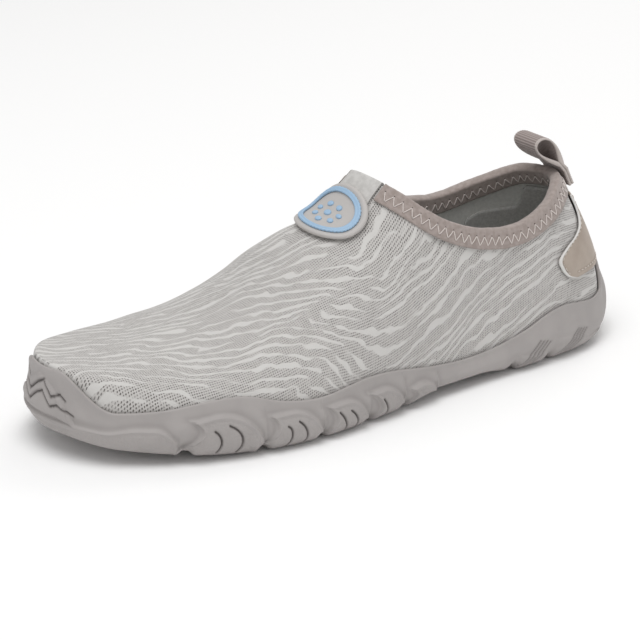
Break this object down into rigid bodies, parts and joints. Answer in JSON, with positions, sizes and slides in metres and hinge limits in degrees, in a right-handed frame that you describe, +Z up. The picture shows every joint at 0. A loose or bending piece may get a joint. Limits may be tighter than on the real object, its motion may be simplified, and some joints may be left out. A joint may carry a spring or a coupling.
{
  "type": "barefoot shoe",
  "caption": "Low slip-on barefoot shoe: hollow knitted upper with a bound collar, thin wide rubber sole with claw lugs up its side, insole, badge and heel pull loop.",
  "frame": {"origin": "on the ground, under the middle of the shoe's bounding box", "axes": "+X towards the toe, +Y to the outer (lateral) side of this left shoe, +Z up; the shoe stands on its sole"},
  "size_m": [0.2762, 0.1066, 0.0902],
  "materials": {
    "sole_rubber": "matte warm grey rubber with pebbled lugs",
    "knit": "light grey relief knit with raised waves and small mesh holes",
    "lining": "grey knitted lining and insole cover",
    "binding": "folded stretch tape with zigzag stitches",
    "elastic": "ribbed elastic",
    "patch": "smooth grained sheet with a pale cut edge",
    "badge_rubber": "soft satin moulded rubber",
    "badge_border": "pale blue satin moulded rubber",
    "webbing": "ribbed woven tape"
  },
  "bodies": {
    "root": {"sole": "sole_rubber", "upper": "knit", "insole": "lining", "collar_binding": "binding", "throat_insert": "elastic", "heel_patch": "patch", "badge": "badge_rubber", "badge_rim": "badge_border", "pull_loop": "webbing"}
  },
  "joints": []
}
